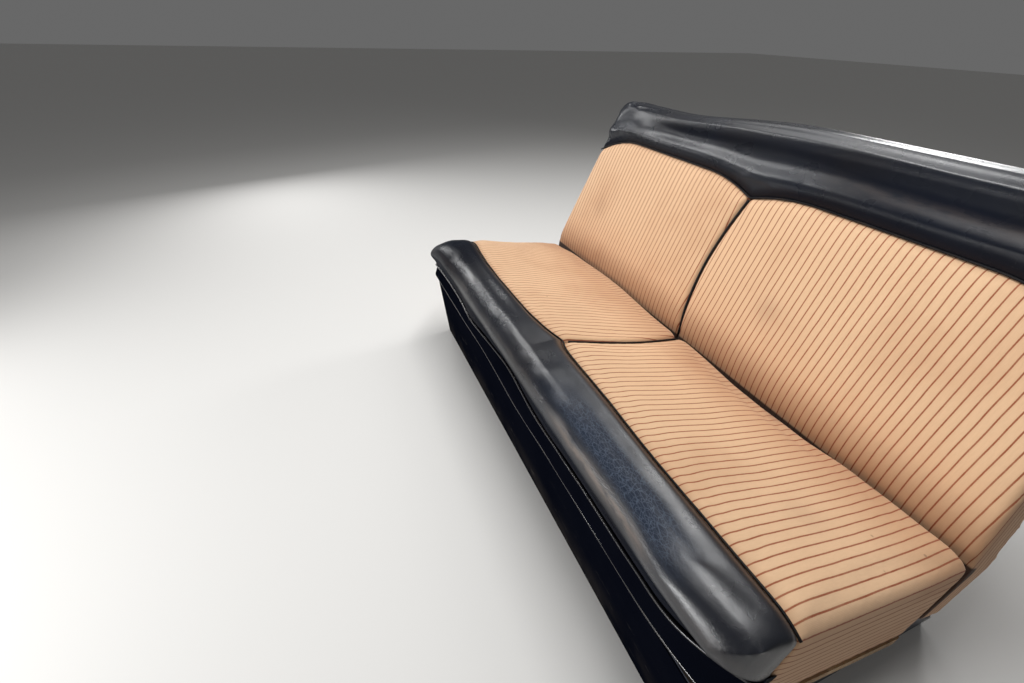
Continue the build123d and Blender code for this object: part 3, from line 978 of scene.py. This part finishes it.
def piped_line(name, path, radius, body, *nodes, coat="piping"):
    """Round piping along a path of row frame points."""
    deselect()
    bpy.ops.curve.primitive_nurbs_path_add()
    line = bpy.context.object
    line.name = name
    line.data.name = name
    line.data.splines.clear()
    spline = line.data.splines.new("NURBS")
    spline.points.add(len(path) - 1)
    for point, place in zip(spline.points, path):
        point.co = (*place, 1)
    spline.order_u = 3
    spline.use_endpoint_u = True
    line.data.bevel_depth = radius
    line.data.bevel_resolution = 3
    line.data.resolution_u = 3
    line.data.use_fill_caps = True
    line.location = (0, 0, 0)
    only(line)
    bpy.ops.object.convert(target="MESH")
    piece = bpy.context.object
    bpy.ops.object.mode_set(mode="EDIT")
    bpy.ops.mesh.select_all(action="SELECT")
    bpy.ops.mesh.remove_doubles(threshold=WELD / 2)
    bpy.ops.mesh.normals_make_consistent(inside=False)
    bpy.ops.object.mode_set(mode="OBJECT")
    settle_origin(piece)
    return finish_piece(piece, body, "piping", finish(coat), *nodes)


class BENCH_OT_cushion_piping(bpy.types.Operator):
    """Piping along the cushion's seams"""
    bl_idname = "bench.cushion_piping"
    bl_label = "Cushion Piping"

    def execute(self, context):
        s = sizes()
        stations = np.linspace(-s.half_width + 0.002, s.half_width - 0.002, PIPING_POINTS)
        seam, low = s.piping_radius, s.low_piping_radius
        rows = (
            # name, node, distance from the crease, level, radius, waviness, finish
            ("bolster_seam_piping", "cushion_seam_piping",
             s.cushion_seam, s.seam_level, seam, 0.0008, "piping"),
            ("bolster_lower_piping", "bolster_piping",
             s.chin_run, s.chin_level, low, 0.0008, "rubbed_piping"),
            ("border_lower_piping", "border_piping",
             s.foot_run, s.foot_level, low, 0.0004, "rubbed_piping"),
        )
        for name, node, run, level, radius, waver, coat in rows:
            local = np.stack((stations, np.full(PIPING_POINTS, -run), np.full(PIPING_POINTS, level)), 1)
            local[:, 2] += tangle(local, 21.0, 51) * waver
            path = from_trim(settle_cushion(local), "cushion")
            piped_line(name, path, radius, "cushion", node, coat=coat)
        run = np.linspace(0.006, s.cushion_seam - 0.014, MIDDLE_PIPING_POINTS)
        local = np.stack((run * 0, -run, run * 0 + s.seam_level - s.middle_sink), 1)
        path = from_trim(settle_cushion(local), "cushion")
        piped_line("cushion_middle_piping", path, s.cushion_middle_radius, "cushion", "cushion_centre_piping")
        return {"FINISHED"}


class BENCH_OT_squab_piping(bpy.types.Operator):
    """Piping along the squab's seams"""
    bl_idname = "bench.squab_piping"
    bl_label = "Squab Piping"

    def execute(self, context):
        s = sizes()
        half = np.linspace(0.0, s.corner_x - 0.002, ROLL_PIPING_POINTS)
        stations = np.concatenate((-half[:0:-1], half))
        local = np.stack((stations, squab_seam_at(stations), np.full(len(stations), s.seam_level)), 1)
        path = from_trim(settle_squab(local), "squab")
        piped_line("roll_seam_piping", path, s.piping_radius, "bench", "squab_seam_piping")
        run = np.linspace(0.010, s.squab_seam - s.centre_dip - 0.004, MIDDLE_PIPING_POINTS)
        local = np.stack((run * 0, run, run * 0 + s.seam_level - s.middle_sink), 1)
        local[:, 2] -= 0.010 * np.clip((0.09 - run) / 0.08, 0, 1) ** 2
        path = from_trim(settle_squab(local), "squab")
        piped_line("squab_middle_piping", path, s.squab_middle_radius, "bench", "squab_centre_piping")
        return {"FINISHED"}


class BENCH_OT_board_finishes(bpy.types.Operator):
    """Finishes of the boards, the seat box and the fittings"""
    bl_idname = "bench.board_finishes"
    bl_label = "Boards and Seat Box"

    def execute(self, context):
        rows = (
            ("leathercloth", ("heel_cover",)),
            ("plywood", ("cushion_base", "squab_battens")),
            ("hardboard", ("squab_back",)),
            ("painted_steel", ("seat_pan", "heel_board", "side_riser_left", "side_riser_right",
                               "rear_panel")),
            ("bare_steel", ("squab_brackets", "squab_hooks")),
        )
        for name, nodes in rows:
            for node in nodes:
                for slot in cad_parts[node].material_slots:
                    slot.material = finish(name)
        return {"FINISHED"}


# Stage

FLOOR_SIZE = 40
WORLD_GREY = (0.86, 0.86, 0.86, 1)
WORLD_STRENGTH = 0.16
CAMERA_PLACE = (0.7508, -0.6569, 0.8791)
CAMERA_TURN = (0.98888, -0.02708, 1.18787)
CAMERA_LENS = 16.987

# Name, place, aim, width, height and power of each lamp
LAMPS = (
    ("key_lamp", (-1.9, -0.65, 2.2), (0.0, 0.0, 0.45), 0.8, 0.4, 16),
    ("side_lamp", (-2.6, -0.9, 1.0), (0.0, -0.1, 0.45), 0.4, 0.9, 12),
    ("top_lamp", (0.0, -0.12, 2.2), (0.05, -0.05, 0.4), 1.6, 0.25, 27),
    ("rim_lamp", (-0.8, 0.7, 2.1), (0.1, 0.35, 0.7), 1.0, 1.2, 9),
    ("front_lamp", (0.35, -2.3, 0.6), (0.5, 0.0, 0.4), 0.22, 0.4, 22),
    ("low_lamp", (-0.75, -2.2, 0.5), (0.2, -0.35, 0.2), 0.16, 0.16, 6),
    ("back_lamp", (-1.1, 2.7, 1.75), (0.1, 0.2, 0.6), 0.7, 0.7, 22),
)


class BENCH_OT_stage(bpy.types.Operator):
    """Pale floor, soft lamps and the camera"""
    bl_idname = "bench.stage"
    bl_label = "Stage"

    def execute(self, context):
        scene = context.scene
        scene.view_settings.view_transform = "Standard"
        deselect()
        bpy.ops.mesh.primitive_plane_add(size=FLOOR_SIZE, location=(0, 0, 0))
        floor = context.object
        floor.name = "floor"
        ground = Finish("floor_paint")
        ground.set(Base_Color=tuple(colours().floor), Roughness=0.9)
        floor.data.materials.append(ground.material)
        world = bpy.data.worlds.new("studio")
        world.use_nodes = True
        scene.world = world
        back = world.node_tree.nodes["Background"]
        back.inputs["Color"].default_value = WORLD_GREY
        back.inputs["Strength"].default_value = WORLD_STRENGTH
        for name, place, aim, width, height, power in LAMPS:
            turn = (Vector(aim) - Vector(place)).to_track_quat("-Z", "Y").to_euler()
            bpy.ops.object.light_add(type="AREA", location=place, rotation=turn)
            lamp = context.object
            lamp.name = name
            lamp.data.shape = "RECTANGLE"
            lamp.data.size = width
            lamp.data.size_y = height
            lamp.data.energy = power
            lamp.visible_camera = False
        bpy.ops.object.camera_add(location=CAMERA_PLACE, rotation=CAMERA_TURN)
        camera = context.object
        camera.name = "camera"
        camera.data.lens = CAMERA_LENS
        camera.data.clip_start = 0.02
        scene.camera = camera
        return {"FINISHED"}


class BENCH_PT_panel(bpy.types.Panel):
    """Steps that upholster the bench"""
    bl_label = "Rear Bench Seat"
    bl_idname = "BENCH_PT_panel"
    bl_space_type = "VIEW_3D"
    bl_region_type = "UI"
    bl_category = "Bench Seat"

    def draw(self, context):
        layout = self.layout
        for step in STEPS:
            layout.operator(step.bl_idname)
        for group in (context.scene.bench_sizes, context.scene.bench_colours):
            for key in group.__annotations__:
                layout.prop(group, key)


STEPS = (
    BENCH_OT_stage,
    BENCH_OT_cushion_pads,
    BENCH_OT_cushion_bolster,
    BENCH_OT_cushion_border,
    BENCH_OT_squab_pads,
    BENCH_OT_squab_roll,
    BENCH_OT_cushion_piping,
    BENCH_OT_squab_piping,
    BENCH_OT_board_finishes,
)
GROUPS = (BenchSizes, BenchColours)


def register():
    for kind in GROUPS + STEPS + (BENCH_PT_panel,):
        bpy.utils.register_class(kind)
    bpy.types.Scene.bench_sizes = bpy.props.PointerProperty(type=BenchSizes)
    bpy.types.Scene.bench_colours = bpy.props.PointerProperty(type=BenchColours)


def unregister():
    del bpy.types.Scene.bench_colours
    del bpy.types.Scene.bench_sizes
    for kind in reversed(GROUPS + STEPS + (BENCH_PT_panel,)):
        bpy.utils.unregister_class(kind)


def main():
    register()
    for step in STEPS:
        family, name = step.bl_idname.split(".")
        getattr(getattr(bpy.ops, family), name)()


if __name__ == "__main__":
    main()
